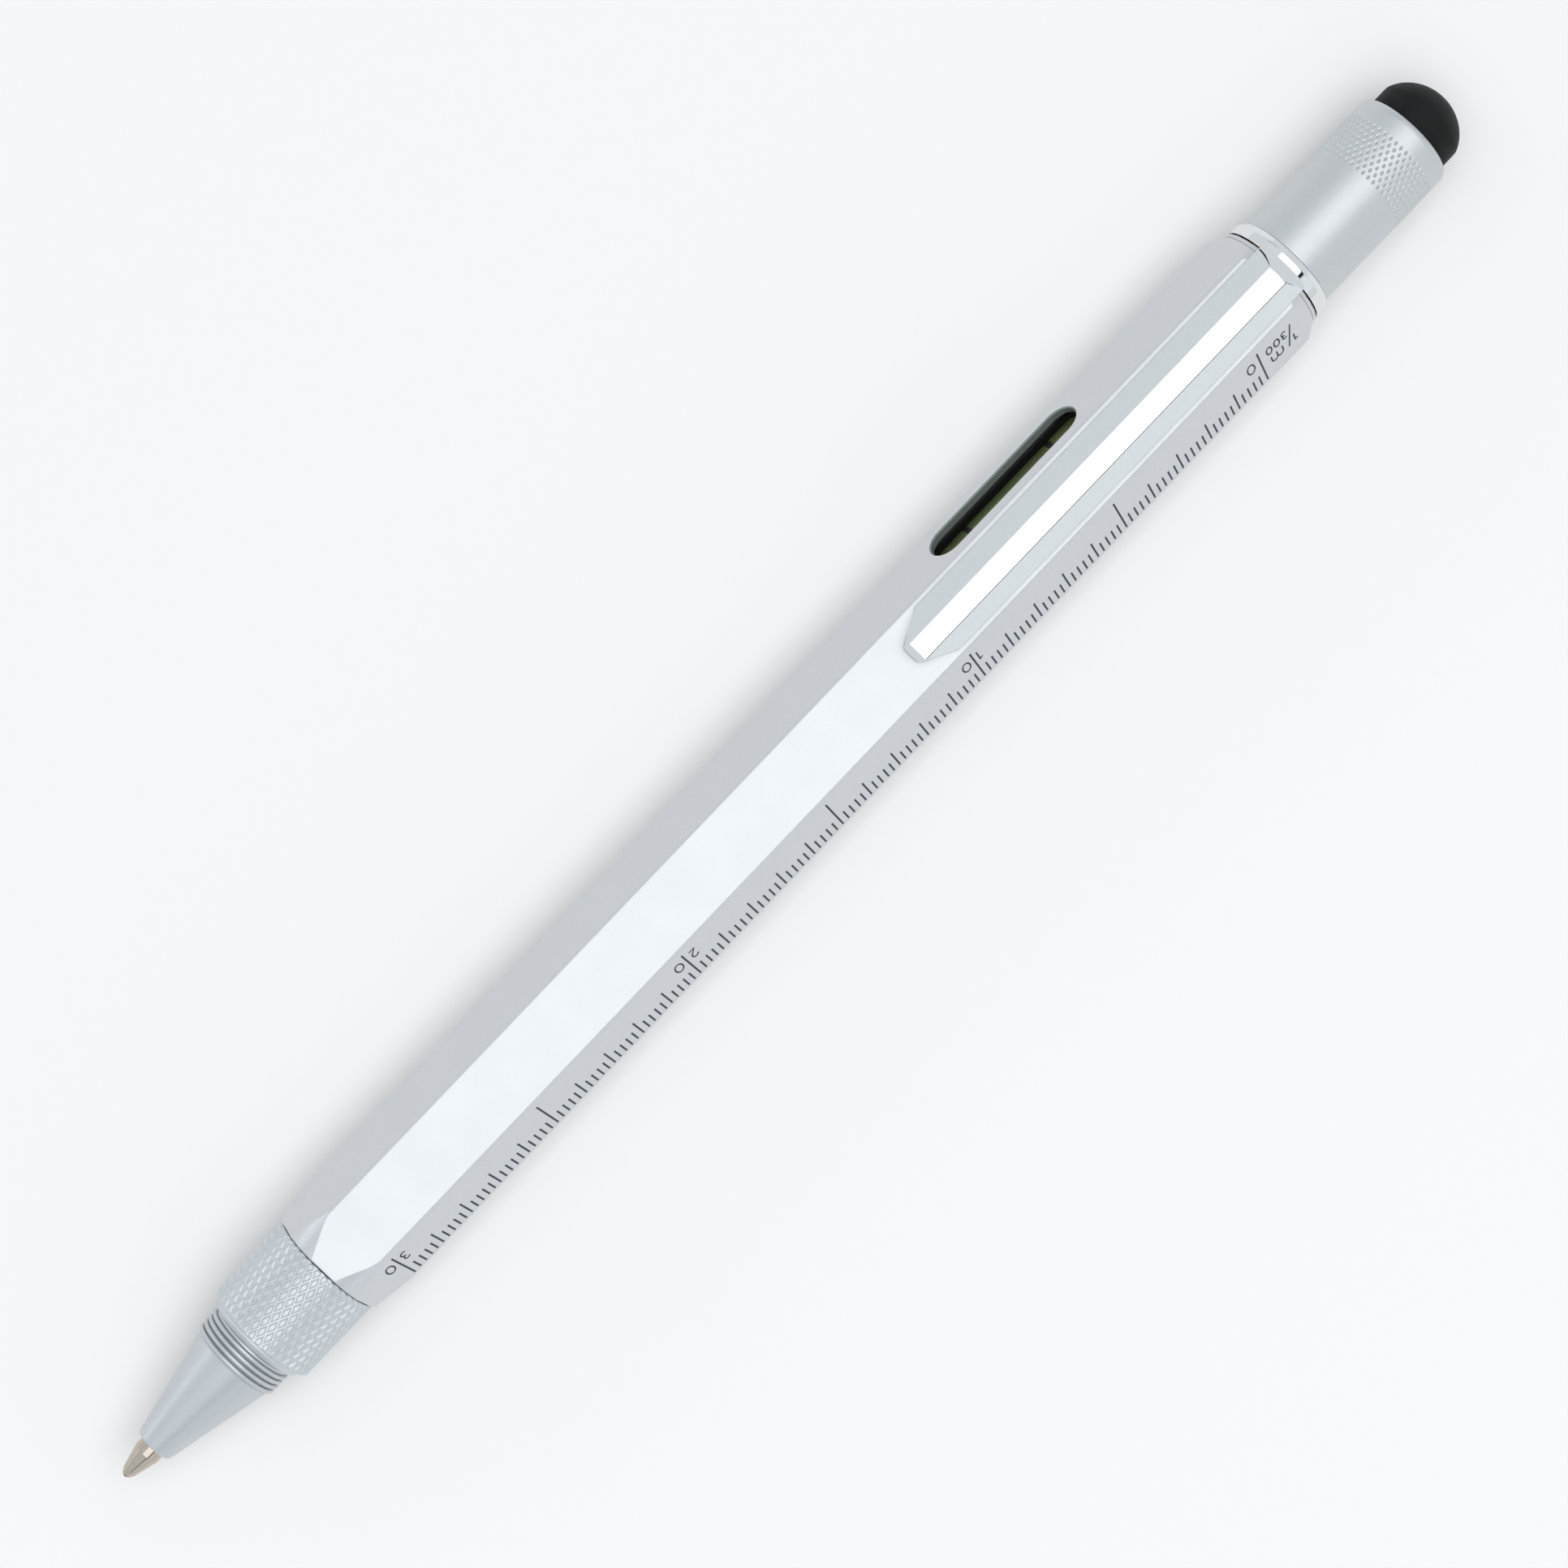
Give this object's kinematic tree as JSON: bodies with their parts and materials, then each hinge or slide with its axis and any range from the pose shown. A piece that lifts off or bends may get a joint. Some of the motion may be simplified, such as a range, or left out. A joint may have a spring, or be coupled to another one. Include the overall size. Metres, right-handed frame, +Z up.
{
  "type": "multi tool pen",
  "caption": "Hexagonal metal twist pen with a printed scale, a spirit level behind a window, a pocket clip, a knurled grip and a stylus cap over a two-ended screwdriver bit.",
  "frame": {"origin": "on the surface the pen lies on, midway along the pen and under its axis", "axes": "+X along the pen towards the stylus end, +Z up through the clip, +Y to the window side"},
  "size_m": [0.1544, 0.0114, 0.0116],
  "materials": {
    "silver_paint": "fine metallic silver lacquer",
    "satin_steel": "satin",
    "satin_aluminium": "satin",
    "chrome": "mirror",
    "nickel_silver": "bright",
    "brass": "turned",
    "spring_steel": "bright",
    "black_steel": "blackened",
    "carbide": "polished",
    "magnet": "nickel plated",
    "rubber": "matte",
    "black_plastic": "matte",
    "dark_plastic": "matte",
    "clear_acrylic": "clear",
    "green_liquid": "clear green",
    "ink": "paste"
  },
  "bodies": {
    "barrel_body": {"barrel": "silver_paint", "front_bush": "brass", "guide_sleeve": "dark_plastic", "vial_carrier": "black_plastic", "level_vial": "clear_acrylic", "vial_plug": "black_plastic", "vial_liquid": "green_liquid", "clip_ring": "chrome", "bit_holder": "brass", "bit_magnet": "magnet", "ring_nut": "brass"},
    "grip_body": {"grip_sleeve": "satin_steel", "nose_cone": "satin_steel", "twist_spindle": "brass", "cam_tube": "brass", "retaining_ring": "spring_steel", "grip_o_ring": "rubber"},
    "refill_body": {"refill_tip": "nickel_silver", "refill_tube": "brass", "refill_ink": "ink", "writing_ball": "carbide", "refill_carrier": "dark_plastic", "carrier_pin": "spring_steel"},
    "clip_body": {"clip_arm": "chrome"},
    "cap_body": {"stylus_cap": "satin_aluminium", "stylus_core": "satin_aluminium", "stylus_tip": "rubber"},
    "bit_body": {"screwdriver_bit": "black_steel"}
  },
  "joints": [
    {"name": "grip_twist", "type": "hinge", "parent": "barrel_body", "child": "grip_body", "pos_m": [-0.05354, 0, 0.005], "axis": [1, 0, 0], "range_deg": [0, 180]},
    {"name": "refill_slide", "type": "slide", "parent": "barrel_body", "child": "refill_body", "axis": [1, 0, 0], "range_m": [0, 0.0044]},
    {"name": "clip_flex", "type": "hinge", "parent": "barrel_body", "child": "clip_body", "pos_m": [0.05697, 0, 0.00995], "axis": [0, 1, 0], "range_deg": [0, 3], "stiffness_Nm_per_rad": 4.5},
    {"name": "cap_off", "type": "slide", "parent": "barrel_body", "child": "cap_body", "axis": [1, 0, 0], "range_m": [0, 0.0336]},
    {"name": "bit_pull", "type": "slide", "parent": "barrel_body", "child": "bit_body", "axis": [1, 0, 0], "range_m": [0, 0.0168]}
  ],
  "couplings": [
    {"joint": "grip_twist", "follows": "refill_slide", "rad_per_m": 713.99},
    {"joint": "bit_pull", "follows": "cap_off", "ratio": 0.5}
  ]
}
